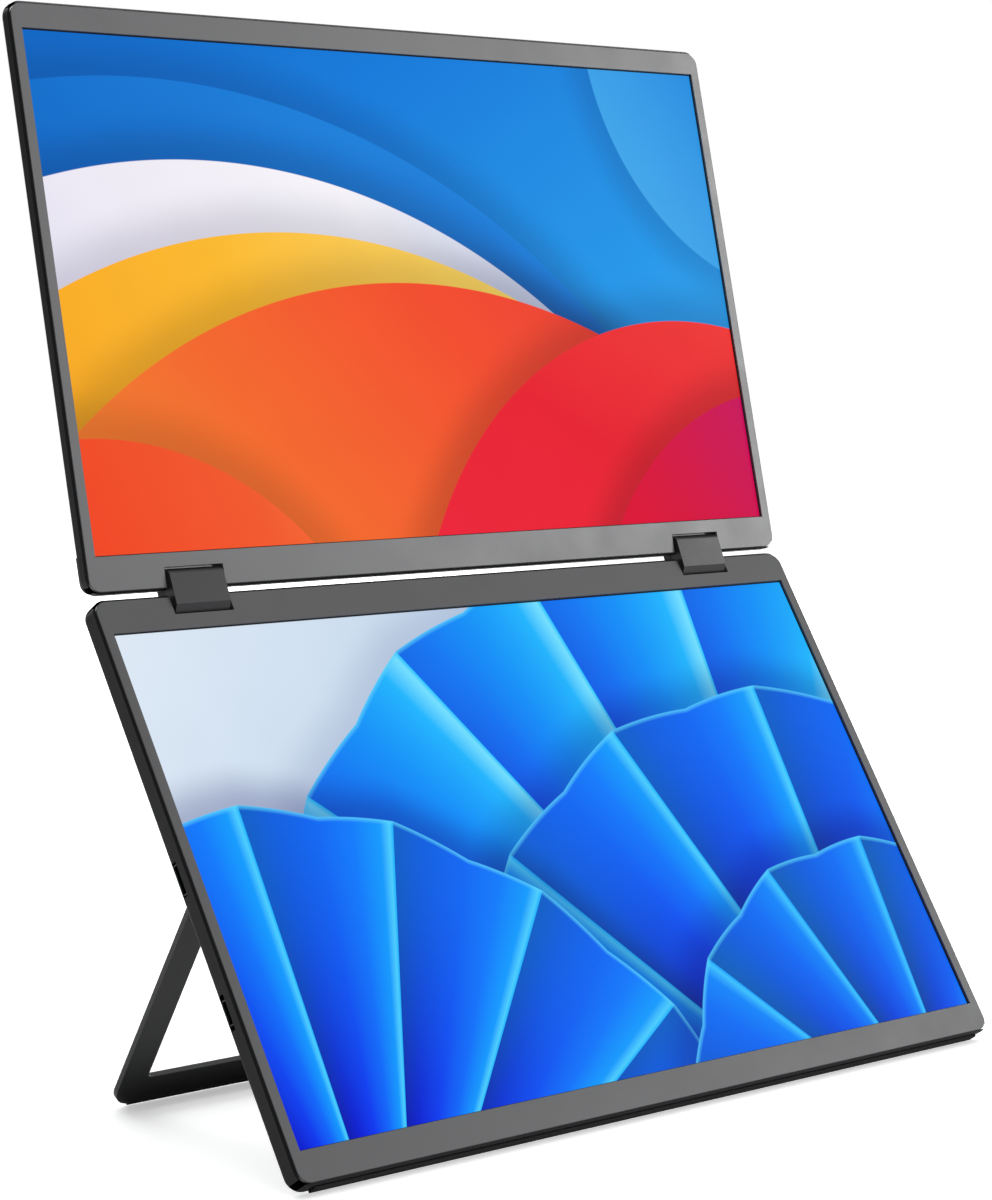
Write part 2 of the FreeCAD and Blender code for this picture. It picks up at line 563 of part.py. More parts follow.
# the thicker band along the hinges, and the raised area over the electronics
pad(body, [("rect", (-hous + 0.9, -rim + 0.9, hous - 0.9, Q(13.5, "13.5")))], -D["band_deep"], -D["upp_deep"] + 0.8)
dress(body, "Fillet", Q(4.5, "4.5"), upright_at((-hous.v + 0.9, hous.v - 0.9), (0.0,)))
dress(body, "Chamfer", Q(0.8, "0.8"), flat_at(-D["band_deep"].v, lambda b: True))
pad(body, [("rect", (Q(-146, "(0 - 146)"), Q(8, "8"), Q(146, "146"), Q(112, "112")))], -D["bulge_deep"], -D["upp_deep"] + 0.8)
dress(body, "Fillet", Q(9, "9"), upright_at((-146, 146), (8.0, 112.0)))
dress(body, "Chamfer", Q(1.2, "1.2"), flat_at(-D["bulge_deep"].v, lambda b: True))
gap = rim - D["wall"]
pocket(body, [("rect", (-cav, -gap, cav, D["upp_high"] + gap))], -D["upp_floor"], Q(0, "0"))
pocket(body, [("rect", (-cav + 2.6, Q(1.5, "1.5"), cav - 2.6, Q(12.2, "12.2")))], -D["band_floor"], -D["upp_floor"] + 0.5)
pocket(body, [("rect", (Q(-143.5, "(0 - 143.5)"), Q(10.5, "10.5"), Q(143.5, "143.5"), Q(109.5, "109.5")))], -D["bulge_floor"], -D["upp_floor"] + 0.5)
pad(body, sides(D["notch_x0"] - nw, D["notch_x1"] + nw, Q(-0.06, "(0 - 0.06)"), D["upp_notch"] + nw), -D["band_floor"] - 0.2, -D["bezel_thick"])
pad(body, [("circle", (x, y, Q(2.4, "2.4"))) for x, y in UPP_BOSS], -D["bulge_floor"] - 0.2, -D["tray_bot"])
pad(body, [("circle", (x, y, Q(2.4, "2.4"))) for x, y in UPP_TOP], -D["upp_floor"] - 0.2, -D["tray_bot"])
pocket(body, sides(D["notch_x0"], D["notch_x1"], Q(-3, "(0 - 3)"), D["upp_notch"]), -D["bulge_deep"] - 1, Q(1, "1"))
pocket(body, [("circle", (x, y, Q(0.9, "0.9"))) for x, y in UPP_BOSS], -D["bulge_deep"] - 1, -D["tray_bot"] + 0.5)
pocket(body, [("circle", (x, y, Q(1.95, "1.95"))) for x, y in UPP_BOSS], -D["bulge_deep"] - 1, -D["bulge_deep"] + 0.9)
pocket(body, [("circle", (x, y, Q(0.9, "0.9"))) for x, y in UPP_TOP], -D["upp_deep"] - 1, -D["tray_bot"] + 0.5)
pocket(body, [("circle", (x, y, Q(1.95, "1.95"))) for x, y in UPP_TOP], -D["upp_deep"] - 1, -D["upp_deep"] + 0.6)
VENT = []
for i in range(13):
    x = -48 + 8 * i - 1.0
    VENT.append(("rect", (c(x), c(70), c(x + 2), c(92))))
pocket(body, VENT, -D["bulge_deep"] - 1, -D["bulge_floor"] + 0.5)
tools = []
for s in (-1, 1):
    tools.append(cyl("x", (D["notch_x0"] - 3) if s > 0 else (-D["notch_x1"] - 3.7), D["axis_in"], -D["axis_deep"], sh,
                     D["notch_x1"] - D["notch_x0"] + 6.7))
finish(cut(body, tools), "upper_rear_cover", "upp")
scr = screws(UPP_BOSS, -D["tray_bot"] - 0.05, -D["bulge_deep"] + 0.05)
for x, y in UPP_TOP:
    head = cyl("z", c(x), c(y), -D["upp_deep"] + 0.05, Q(1.8, "1.8"), Q(0.5, "0.5"))
    shank = cyl("z", c(x), c(y), -D["upp_deep"] + 0.5, Q(0.85, "0.85"), Q(0.6, "0.6"))
    scr.append(fuse([head, shank]))
finish(group(scr), "upper_casing_screws", "upp")
bump = []
for s in (-1, 1):
    a, b = (163.0, 175.0) if s > 0 else (-175.0, -163.0)
    bump.append(box(c(a), c(b), c(205.5), c(214.6), -D["upp_deep"] - 1.2, -D["upp_deep"]))
finish(group(bump), "upper_rear_bumpers", "upp")
hinge_side("upper", "upp", D["axis_in"], Q(1.7, "1.7"), Q(8.6, "8.6"), D["band_floor"])
finish(cbox(-70, 20, 24, 66, -6.9, -6.1), "upper_driver_board", "upp")
finish(group([cbox(-52, -38, 36, 50, -6.1, -5.1), cbox(-18, -8, 34, 44, -6.1, -5.2), cbox(-2, 12, 48, 60, -6.1, -5.0)]), "upper_board_chips", "upp")
finish(cbox(20, 44, 34, 50, -6.35, -6.1), "upper_lcd_ribbon", "upp")

# ================================================================ hinge links
half = D["link_len"] / 2


def link_outline(front):
    """Half of the link's section, seen along x: y up the link, z out of the screens."""
    f, b = D["link_front"], -D["link_back"]
    if front:
        pts = [(-half - 5.25, Q(0, "0")), (half + 5.8, Q(0, "0")), (half + 5.75, Q(0.8, "0.8")), (half + 5.1, Q(2.8, "2.8")), (half + 3.75, Q(4.45, "4.45")),
               (half + 2.9, f), (-half - 1.45, f), (-half - 4.3, Q(3.1, "3.1")), (-half - 5.2, Q(0.75, "0.75"))]
    else:
        pts = [(-half - 5.25, Q(0, "0")), (-half - 5.2, Q(-0.9, "(0 - 0.9)")), (-half - 4.4, Q(-2.95, "(0 - 2.95)")), (-half - 1.9, b),
               (half + 1.9, b), (half + 4.4, Q(-2.95, "(0 - 2.95)")), (half + 5.7, Q(-0.9, "(0 - 0.9)")), (half + 5.8, Q(0, "0"))]
    return pts


def shell_of(front, s):
    body = new_body()
    # the YZ plane's own axes are y and z, and its normal is +x
    x0, x1 = (D["link_x0"], D["link_x1"]) if s > 0 else (-D["link_x1"], -D["link_x0"])
    pad(body, [("poly", (link_outline(front),))], x0, x1, "YZ_Plane")
    return body, x0, x1


for s, side in ((-1, "left"), (1, "right")):
    for front in (True, False):
        body, x0, x1 = shell_of(front, s)
        w = 1.2
        z0, z1 = (c(-0.01), c(2.6)) if front else (c(-2.6), c(0.01))
        tools = [
            cyl("x", x0 - 1, -half, Q(0, "0"), sh, D["link_x1"] - D["link_x0"] + 2),
            cyl("x", x0 - 1, half, Q(0, "0"), sh, D["link_x1"] - D["link_x0"] + 2),
            cyl("x", c(118.8) if s > 0 else c(-131.4), -half, Q(0, "0"), D["barrel_rad"], Q(12.6, "12.6")),
            cyl("x", c(118.8) if s > 0 else c(-131.4), half, Q(0, "0"), D["barrel_rad"], Q(12.6, "12.6")),
        ]
        a, b = (132.2, 141.2) if s > 0 else (-141.2, -132.2)
        tools.append(box(c(a), c(b), -half, half, c(-2.35) , c(2.35)))
        tools.append(cyl("x", c(a), -half, Q(0, "0"), Q(2.0, "2.0"), Q(9.0, "9.0")))
        tools.append(cyl("x", c(a), half, Q(0, "0"), Q(2.0, "2.0"), Q(9.0, "9.0")))
        # holes of the two screws that hold the shells together
        hx = [c(s * 120.6), c(s * 129.4)]
        for h in hx:
            if front:
                tools.append(cyl("z", h, Q(0, "0"), c(-0.5), Q(0.6, "0.6"), Q(3.5, "3.5")))
            else:
                tools.append(cyl("z", h, Q(0, "0"), c(-5.5), Q(0.62, "0.62"), Q(6.0, "6.0")))
                tools.append(cyl("z", h, Q(0, "0"), c(-5.5), Q(1.25, "1.25"), Q(1.5, "1.5")))
        finish(cut(body, tools), ("link_front_shell_" if front else "link_rear_shell_") + side, "link")
    bar = []
    for yy in (-half, half):
        x = c(118.8) if s > 0 else c(-131.4)
        tube = cut(cyl("x", x, yy, Q(0, "0"), D["barrel_rad"], Q(12.6, "12.6")),
                   [cyl("x", x - 1, yy, Q(0, "0"), D["shaft_rad"] + 0.02, Q(14.6, "14.6"))])
        bar.append(tube)
    finish(group(bar), "friction_barrels_" + side, "link")
    sc = []
    for h in [c(s * 120.6), c(s * 129.4)]:
        sc.append(fuse([cyl("z", h, Q(0, "0"), c(-4.8), Q(1.2, "1.2"), Q(0.8, "0.8")), cyl("z", h, Q(0, "0"), c(-4.2), Q(0.58, "0.58"), Q(6.6, "6.6"))]))
    finish(group(sc), "link_screws_" + side, "link")
    # the slider between the shafts, which keeps both axes turning by the same angle
    a = 133.0 if s > 0 else -140.6
    core = cbox(a, a + 3.0, -1.85, 1.85, -2.1, 2.1)
    pin = cyl("y", c(a + 1.5), c(-2.45), Q(0, "0"), Q(0.45, "0.45"), Q(4.9, "4.9"))
    finish(fuse([core, pin]), "sync_slider_" + side, "link")

# ================================================================ kickstand
body = new_body()
klen, kbar = D["kick_len"], D["kick_bar"]
kt2 = D["kick_thick"] / 2
pad(body, sides(D["kick_x0"], D["kick_x1"], -klen + 2, Q(0, "0")), -kt2, kt2)
pad(body, [("rect", (-D["kick_x1"], -klen, D["kick_x1"], -klen + kbar))], -kt2, kt2)
dress(body, "Fillet", Q(7.0, "7"), upright_at((-D["kick_x1"].v, D["kick_x1"].v), (-klen.v,)))
dress(body, "Fillet", Q(2.0, "2"), upright_at((-D["kick_x0"].v, D["kick_x0"].v), ((-klen + kbar).v,)))
knuckles = [cyl("x", D["kick_x0"] if s > 0 else -D["kick_x1"], Q(0, "0"), Q(0, "0"), kt2, D["kick_x1"] - D["kick_x0"]) for s in (-1, 1)]
bores = [cyl("x", (D["kick_x0"] - 1) if s > 0 else (-D["kick_x1"] - 1), Q(0, "0"), Q(0, "0"), D["pin_rad"] + 0.03, D["kick_x1"] - D["kick_x0"] + 2) for s in (-1, 1)]
finish(cut(fuse([body] + knuckles), bores), "kickstand_frame", "kick")
strip = box(-D["kick_x1"] + 7.0, D["kick_x1"] - 7.0, -klen - D["kick_pad"], -klen, -kt2, kt2)
finish(strip, "kickstand_foot_pad", "kick")

# ================================================================ checks and output
doc.recompute()
bad = [o.Name + " " + str(o.State) for o in doc.Objects if "Invalid" in o.State or "Error" in o.State]
if bad:
    print("FAILED OBJECTS", bad)
    sys.exit(1)
labels = [o.Label for o in NODES]
if len(set(labels)) != len(labels) or len(labels) > 60:
    print("LABELS", len(labels), [x for x in labels if labels.count(x) > 1])
    sys.exit(1)
for o in NODES:
    if o.Shape.isNull() or not o.Shape.isValid() or not o.Shape.Solids:
        print("BAD SHAPE", o.Label)
        sys.exit(1)
tot = None
for o in NODES:
    b = o.Shape.BoundBox
    if tot is None:
        tot = FreeCAD.BoundBox(b)
    else:
        tot.add(b)
    print("%-26s solids %d vol %.1f" % (o.Label, len(o.Shape.Solids), o.Shape.Volume))
    o.Shape.exportStep("parts/" + o.Label + ".step")
print("NODES", len(NODES), "BOX x %.2f %.2f y %.2f %.2f z %.2f %.2f" % (tot.XMin, tot.XMax, tot.YMin, tot.YMax, tot.ZMin, tot.ZMax))
print("p1", p1, "p2", p2, "p_kick", p_kick)
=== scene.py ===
import bpy
import bmesh
import json
import math
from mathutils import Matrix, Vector

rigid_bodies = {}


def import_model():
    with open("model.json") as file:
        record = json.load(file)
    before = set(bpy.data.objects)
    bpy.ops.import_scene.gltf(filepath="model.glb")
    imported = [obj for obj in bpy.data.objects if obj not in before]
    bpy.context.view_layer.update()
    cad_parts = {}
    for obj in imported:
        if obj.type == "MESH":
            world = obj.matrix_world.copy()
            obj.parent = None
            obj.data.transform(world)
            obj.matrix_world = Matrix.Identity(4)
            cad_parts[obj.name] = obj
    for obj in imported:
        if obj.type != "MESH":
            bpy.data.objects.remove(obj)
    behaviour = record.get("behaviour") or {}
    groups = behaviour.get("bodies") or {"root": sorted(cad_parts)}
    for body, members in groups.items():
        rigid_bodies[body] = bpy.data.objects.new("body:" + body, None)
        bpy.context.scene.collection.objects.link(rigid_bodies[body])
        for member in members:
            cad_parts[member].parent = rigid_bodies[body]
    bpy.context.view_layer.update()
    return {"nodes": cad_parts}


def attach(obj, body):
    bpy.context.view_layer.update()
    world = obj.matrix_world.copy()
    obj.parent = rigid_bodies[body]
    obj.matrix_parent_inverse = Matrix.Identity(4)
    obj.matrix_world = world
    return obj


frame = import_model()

nodes = frame["nodes"]
scene = bpy.context.scene
for o in list(bpy.data.objects):
    if o.type in ("CAMERA", "LIGHT"):
        bpy.data.objects.remove(o)

# ---------------------------------------------------------------- the parts' own frames
MM = 0.001


class Fr:
    """A flat frame in millimetres: x to the right, y up the panel, z out of the screen."""

    def __init__(self, origin, turn_deg, body):
        a = math.radians(turn_deg)
        self.o = Vector(origin) * MM
        self.x = Vector((1, 0, 0))
        self.y = Vector((0, math.cos(a), math.sin(a)))
        self.z = Vector((0, -math.sin(a), math.cos(a)))
        self.body = body

    def at(self, x, y, z):
        return self.o + (self.x * x + self.y * y + self.z * z) * MM


LEAN_LOW, LEAN_UPP, OPEN = 32.45, 13.01, 63.83
O_LOW = Vector((0, -86.5, 4.984))
_l = Fr(O_LOW, 90 - LEAN_LOW, "lower_monitor")
P1 = _l.at(0, 216.5, -3.35) / MM
_m = Fr(P1, 90 - (LEAN_LOW + LEAN_UPP) / 2, "")
P2 = _m.at(0, 7.4, 0) / MM
_u = Fr((0, 0, 0), 90 - LEAN_UPP, "")
O_UPP = P2 - (_u.y * 1.4 - _u.z * 3.35)
P_KICK = _l.at(0, 127.0, -6.8) / MM
LOW = Fr(O_LOW, 90 - LEAN_LOW, "lower_monitor")
UPP = Fr(O_UPP, 90 - LEAN_UPP, "upper_monitor")
LINK_O = (P1 + P2) * 0.5
LINK_L = Fr(LINK_O, 90 - (LEAN_LOW + LEAN_UPP) / 2, "hinge_link_left")
LINK_R = Fr(LINK_O, 90 - (LEAN_LOW + LEAN_UPP) / 2, "hinge_link_right")
KICK = Fr(P_KICK, 90 - LEAN_LOW + OPEN, "kickstand")


# ---------------------------------------------------------------- camera
def make_camera():
    yaw, pitch = math.radians(40.534), math.radians(3.908)
    fwd = Vector((math.sin(yaw) * math.cos(pitch), math.cos(yaw) * math.cos(pitch), -math.sin(pitch)))
    cam = bpy.data.objects.new("camera", bpy.data.cameras.new("camera"))
    scene.collection.objects.link(cam)
    cam.location = (-0.811917, -0.879344, 0.289907)
    cam.rotation_mode = "QUATERNION"
    cam.rotation_quaternion = fwd.to_track_quat("-Z", "Y")
    cam.data.sensor_fit = "AUTO"
    cam.data.sensor_width = 36.0
    cam.data.lens = 3145.668 / 1200 * 36.0
    cam.data.shift_x = (496 - 400) / 1200
    cam.data.shift_y = (530 - 600) / 1200
    cam.data.clip_start, cam.data.clip_end = 0.05, 60.0
    scene.camera = cam


make_camera()
scene.view_settings.view_transform = "Standard"
scene.view_settings.look = "None"
scene.view_settings.exposure = 0.0
scene.view_settings.gamma = 1.0


# ---------------------------------------------------------------- light and floor
def look_at(o, target):
    o.rotation_mode = "QUATERNION"
    o.rotation_quaternion = (Vector(target) - o.location).to_track_quat("-Z", "Y")


def softbox(name, where, size, watts, target=(0, 0, 0.2), tint=(1, 1, 1)):
    d = bpy.data.lights.new(name, "AREA")
    d.shape, d.size, d.size_y = "RECTANGLE", size[0], size[1]
    d.energy, d.color = watts, tint
    o = bpy.data.objects.new(name, d)
    scene.collection.objects.link(o)
    o.location = where
    look_at(o, target)
    return o


softbox("key_right", (3.16, -2.30, 1.45), (1.25, 0.95), 48.0, (0.1, 0.03, 0.30))
softbox("fill_top", (0.3, 0.1, 2.2), (1.8, 1.8), 9.0)
softbox("rim_back", (0.55, 2.1, 1.2), (1.6, 1.4), 34.0)
softbox("rim_back_right", (1.6, 1.5, 0.9), (1.2, 1.4), 16.0)


def make_world():
    w = bpy.data.worlds.new("studio")
    scene.world = w
    w.use_nodes = True
    nt = w.node_tree
    nt.nodes.clear()
    out = nt.nodes.new("ShaderNodeOutputWorld")
    seen = nt.nodes.new("ShaderNodeBackground")
    seen.inputs[0].default_value = (1, 1, 1, 1)
    seen.inputs[1].default_value = 1.0
    lit = nt.nodes.new("ShaderNodeBackground")
    lit.inputs[0].default_value = (0.97, 0.98, 1.0, 1)
    tc = nt.nodes.new("ShaderNodeTexCoord")
    dot = nt.nodes.new("ShaderNodeVectorMath")
    dot.operation = "DOT_PRODUCT"
    dot.inputs[1].default_value = (0.93, -0.05, 0.36)
    nt.links.new(tc.outputs["Generated"], dot.inputs[0])
    mr = nt.nodes.new("ShaderNodeMapRange")
    mr.inputs["From Min"].default_value = -0.75
    mr.inputs["From Max"].default_value = 0.85
    mr.inputs["To Min"].default_value = 0.12
    mr.inputs["To Max"].default_value = 1.0
    nt.links.new(dot.outputs["Value"], mr.inputs["Value"])
    nt.links.new(mr.outputs["Result"], lit.inputs[1])
    lp = nt.nodes.new("ShaderNodeLightPath")
    mix = nt.nodes.new("ShaderNodeMixShader")
    nt.links.new(lp.outputs["Is Camera Ray"], mix.inputs[0])
    nt.links.new(lit.outputs[0], mix.inputs[1])
    nt.links.new(seen.outputs[0], mix.inputs[2])
    nt.links.new(mix.outputs[0], out.inputs[0])


make_world()


# ---------------------------------------------------------------- node helpers
class NT:
    """A material's node tree with short calls. Values may be numbers or sockets."""

    def __init__(self, name):
        self.m = bpy.data.materials.new(name)
        self.m.use_nodes = True
        self.t = self.m.node_tree
        self.t.nodes.clear()
        self.out = self.t.nodes.new("ShaderNodeOutputMaterial")
        self.b = self.t.nodes.new("ShaderNodeBsdfPrincipled")
        self.t.links.new(self.b.outputs[0], self.out.inputs[0])
        self.obj = self.t.nodes.new("ShaderNodeTexCoord").outputs["Object"]

    def set(self, socket, v):
        if isinstance(v, bpy.types.NodeSocket):
            self.t.links.new(v, socket)
        elif isinstance(v, (tuple, list, Vector)) and socket.type == "RGBA":
            socket.default_value = (v[0], v[1], v[2], 1.0)
        else:
            socket.default_value = v

    def node(self, kind, ins=(), **props):
        n = self.t.nodes.new(kind)
        for k, v in props.items():
            setattr(n, k, v)
        for k, v in dict(ins).items():
            self.set(n.inputs[k], v)
        return n

    def math(self, op, a, b=0.0, c=0.0, clamp=False):
        n = self.t.nodes.new("ShaderNodeMath")
        n.operation, n.use_clamp = op, clamp
        for i, v in enumerate((a, b, c)):
            self.set(n.inputs[i], v)
        return n.outputs[0]

    def vec(self, op, a, b=(0, 0, 0)):
        n = self.t.nodes.new("ShaderNodeVectorMath")
        n.operation = op
        self.set(n.inputs[0], a)
        self.set(n.inputs[1], b)
        return n.outputs["Value"] if op in ("DOT_PRODUCT", "LENGTH", "DISTANCE") else n.outputs[0]

    def ramp(self, v, a, b, lo=0.0, hi=1.0, smooth=False):
        n = self.t.nodes.new("ShaderNodeMapRange")
        n.interpolation_type = "SMOOTHSTEP" if smooth else "LINEAR"
        self.set(n.inputs["Value"], v)
        self.set(n.inputs["From Min"], a)
        self.set(n.inputs["From Max"], b)
        self.set(n.inputs["To Min"], lo)
        self.set(n.inputs["To Max"], hi)
        return n.outputs["Result"]

    def mix(self, f, a, b, mode="MIX"):
        n = self.t.nodes.new("ShaderNodeMix")
        n.data_type, n.blend_type = "RGBA", mode
        self.set(n.inputs[0], f)
        self.set(n.inputs[6], a)
        self.set(n.inputs[7], b)
        return n.outputs[2]

    def stops(self, v, points):
        n = self.t.nodes.new("ShaderNodeValToRGB")
        e = n.color_ramp.elements
        while len(e) > 1:
            e.remove(e[-1])
        e[0].position, e[0].color = points[0][0], (*points[0][1], 1)
        for pos, col in points[1:]:
            k = e.new(pos)
            k.color = (*col, 1)
        self.set(n.inputs[0], v)
        return n.outputs[0]

    def noise(self, scale, detail=3.0, rough=0.5, at=None, distort=0.0):
        n = self.node("ShaderNodeTexNoise", {"Scale": scale, "Detail": detail, "Roughness": rough, "Distortion": distort})
        self.set(n.inputs["Vector"], self.obj if at is None else at)
        return n.outputs["Fac"]

    def bump(self, height, strength, dist, normal=None):
        n = self.node("ShaderNodeBump", {"Strength": strength, "Distance": dist, "Height": height})
        if normal is not None:
            self.set(n.inputs["Normal"], normal)
        return n.outputs[0]


def srgb(h):
    h = h.lstrip("#")
    out = []
    for i in (0, 2, 4):
        v = int(h[i:i + 2], 16) / 255
        out.append(v / 12.92 if v <= 0.04045 else ((v + 0.055) / 1.055) ** 2.4)
    return tuple(out)


def scaled(c, k):
    return tuple(min(1.0, x * k) for x in c)


def moulded(name, base, rough, spec=0.5, grain=1800.0, grain_h=0.00003, grain_s=0.35, mottle=0.06,
            rough_var=0.06, sheen=0.0, coat=0.0, coat_rough=0.3, dust=0.0):
    """Moulded or painted plastic: fine texture, slow colour drift, uneven gloss and, when dust is given, grey dust
    specks.
    """
    k = NT(name)
    fine = k.noise(grain, 2.0, 0.6)
    cell = k.node("ShaderNodeTexVoronoi", {"Scale": grain * 0.55, "Vector": k.obj}).outputs["Distance"]
    slow = k.noise(55.0, 3.0, 0.55)
    wide = k.noise(9.0, 2.0, 0.5)
    lo_c, hi_c = scaled(base, 1 - mottle), scaled(base, 1 + mottle)
    col = k.mix(k.ramp(slow, 0.3, 0.7), lo_c, hi_c)
    col = k.mix(k.ramp(fine, 0.35, 0.75, 0.0, 0.35), col, scaled(base, 1 + 2.2 * mottle))
    if dust:
        col = k.mix(k.ramp(k.noise(420.0, 4.0, 0.7), 0.66, 0.78, 0.0, dust), col, (0.35, 0.35, 0.36))
    k.set(k.b.inputs["Base Color"], col)
    r = k.math("ADD", k.ramp(slow, 0.25, 0.75, rough - rough_var, rough + rough_var), k.ramp(wide, 0.3, 0.7, -rough_var * 0.5, rough_var * 0.5), clamp=True)
    k.set(k.b.inputs["Roughness"], r)
    k.b.inputs["Specular IOR Level"].default_value = spec
    if sheen:
        k.b.inputs["Sheen Weight"].default_value = sheen
        k.b.inputs["Sheen Roughness"].default_value = 0.5
    if coat:
        k.b.inputs["Coat Weight"].default_value = coat
        k.b.inputs["Coat Roughness"].default_value = coat_rough
    h = k.math("ADD", k.math("MULTIPLY", fine, 0.6), k.math("MULTIPLY", cell, 0.5))
    k.set(k.b.inputs["Normal"], k.bump(h, grain_s, grain_h))
    return k.m


def metal(name, base, rough, streak=(40.0, 2600.0, 2600.0), depth=0.00001, strength=0.3, spread=0.08, metallic=1.0):
    """Sheet or turned metal with drawn streaks along x and small gloss changes."""
    k = NT(name)
    at = k.vec("MULTIPLY", k.obj, streak)
    line = k.noise(1.0, 4.0, 0.65, at)
    spot = k.noise(240.0, 3.0, 0.6)
    k.set(k.b.inputs["Base Color"], k.mix(k.ramp(line, 0.3, 0.7), scaled(base, 0.88), scaled(base, 1.08)))
    k.set(k.b.inputs["Roughness"], k.math("ADD", k.ramp(line, 0.25, 0.75, rough - spread, rough + spread), k.ramp(spot, 0.3, 0.7, -0.04, 0.04), clamp=True))
    k.b.inputs["Metallic"].default_value = metallic
    k.set(k.b.inputs["Normal"], k.bump(line, strength, depth))
    return k.m


# ---------------------------------------------------------------- screen pictures, of this part's own design
def screen_axes(k, fr, chin):
    """The picture's own axes in units of its height, from the part's coordinates."""
    h = 0.19359
    x = k.math("ADD", k.vec("DOT_PRODUCT", k.obj, (1 / h, 0, 0)), 0.34416 / h / 2)
    y = k.math("SUBTRACT", k.vec("DOT_PRODUCT", k.obj, tuple(fr.y / h)), (fr.o.dot(fr.y) + chin * MM) / h)
    p = k.node("ShaderNodeCombineXYZ", {"X": x, "Y": y, "Z": 0.0}).outputs[0]
    return x, y, p


def frame_mask(k, x, y):
    """1 inside the picture, 0 on the dark line round it."""
    e = 0.0014
    w = 0.34416 / 0.19359 / 2
    mx = k.ramp(k.math("ABSOLUTE", k.math("SUBTRACT", x, w)), w - e, w - e * 0.45, 1.0, 0.0)
    my = k.ramp(k.math("ABSOLUTE", k.math("SUBTRACT", y, 0.5)), 0.5 - e, 0.5 - e * 0.45, 1.0, 0.0)
    return k.math("MULTIPLY", mx, my)


def disc(k, col, p, cx, cy, r, inside, shadow=0.30, reach=0.11, soft=0.0011):
    d = k.vec("DISTANCE", p, (cx, cy, 0))
    if shadow:
        fall = k.ramp(d, r, r + reach, 1.0 - shadow, 1.0, smooth=True)
        grey = k.node("ShaderNodeCombineColor", {"Red": fall, "Green": fall, "Blue": k.ramp(fall, 0.0, 1.0, 0.12, 1.0)}).outputs[0]
        col = k.mix(1.0, col, grey, "MULTIPLY")
    return k.mix(k.ramp(d, r - soft, r + soft, 1.0, 0.0, smooth=True), col, inside)


def upper_picture():
    """Overlapping large discs, like cut paper, rising from the lower left."""
    k = NT("screen_upper")
    x, y, p = screen_axes(k, UPP, 12.9)

    def grad(nx, ny, a, b, stops):
        s = k.vec("DOT_PRODUCT", p, (nx, ny, 0))
        return k.stops(k.ramp(s, a, b), [(q, srgb(c)) for q, c in stops])
    col = grad(-0.5, 0.86, -0.9, 0.9, [(0.0, "#35aef2"), (0.35, "#1a97ea"), (0.7, "#0a7cdc"), (1.0, "#0768c8")])
    col = disc(k, col, p, 2.02, 1.06, 0.56, grad(-0.8, -0.6, -2.1, -1.5, [(0.0, "#1286e0"), (1.0, "#4ab4f0")]), 0.24)
    col = disc(k, col, p, 0.24, -0.66, 1.58, grad(0.7, 0.7, -0.2, 1.1, [(0.0, "#0860c0"), (0.55, "#0a6cca"), (1.0, "#1580dc")]), 0.28)
    col = disc(k, col, p, 0.36, -0.70, 1.46, grad(0.8, 0.6, -0.2, 1.3, [(0.0, "#dcdaf2"), (0.5, "#f0ecf7"), (0.8, "#f8f6fb"), (1.0, "#d2dcf3")]), 0.32)
    col = disc(k, col, p, 0.56, -0.74, 1.36, grad(0.9, 0.3, -0.1, 1.3, [(0.0, "#fba61a"), (0.45, "#fdbb2c"), (1.0, "#ffe06c")]), 0.26)
    col = disc(k, col, p, 0.84, -0.84, 1.36, grad(0.7, 0.6, 0.0, 1.3, [(0.0, "#f4862f"), (0.35, "#f6682a"), (0.7, "#f44c28"), (1.0, "#ee3a30")]), 0.26)
    col = disc(k, col, p, 0.02, -0.46, 0.68, grad(0.9, 0.4, -0.1, 0.7, [(0.0, "#f2401f"), (0.6, "#f4592a"), (1.0, "#f77a38")]), 0.24)
    col = disc(k, col, p, 1.60, -0.44, 0.88, grad(0.4, 0.9, 0.2, 1.2, [(0.0, "#f0203a"), (0.5, "#e81a2c"), (1.0, "#f23a34")]), 0.30)
    col = disc(k, col, p, 1.90, -0.40, 0.68, grad(0.8, 0.5, 0.9, 1.7, [(0.0, "#e60022"), (0.45, "#d6033a"), (1.0, "#c20066")]), 0.30)
    return k, x, y, p, col


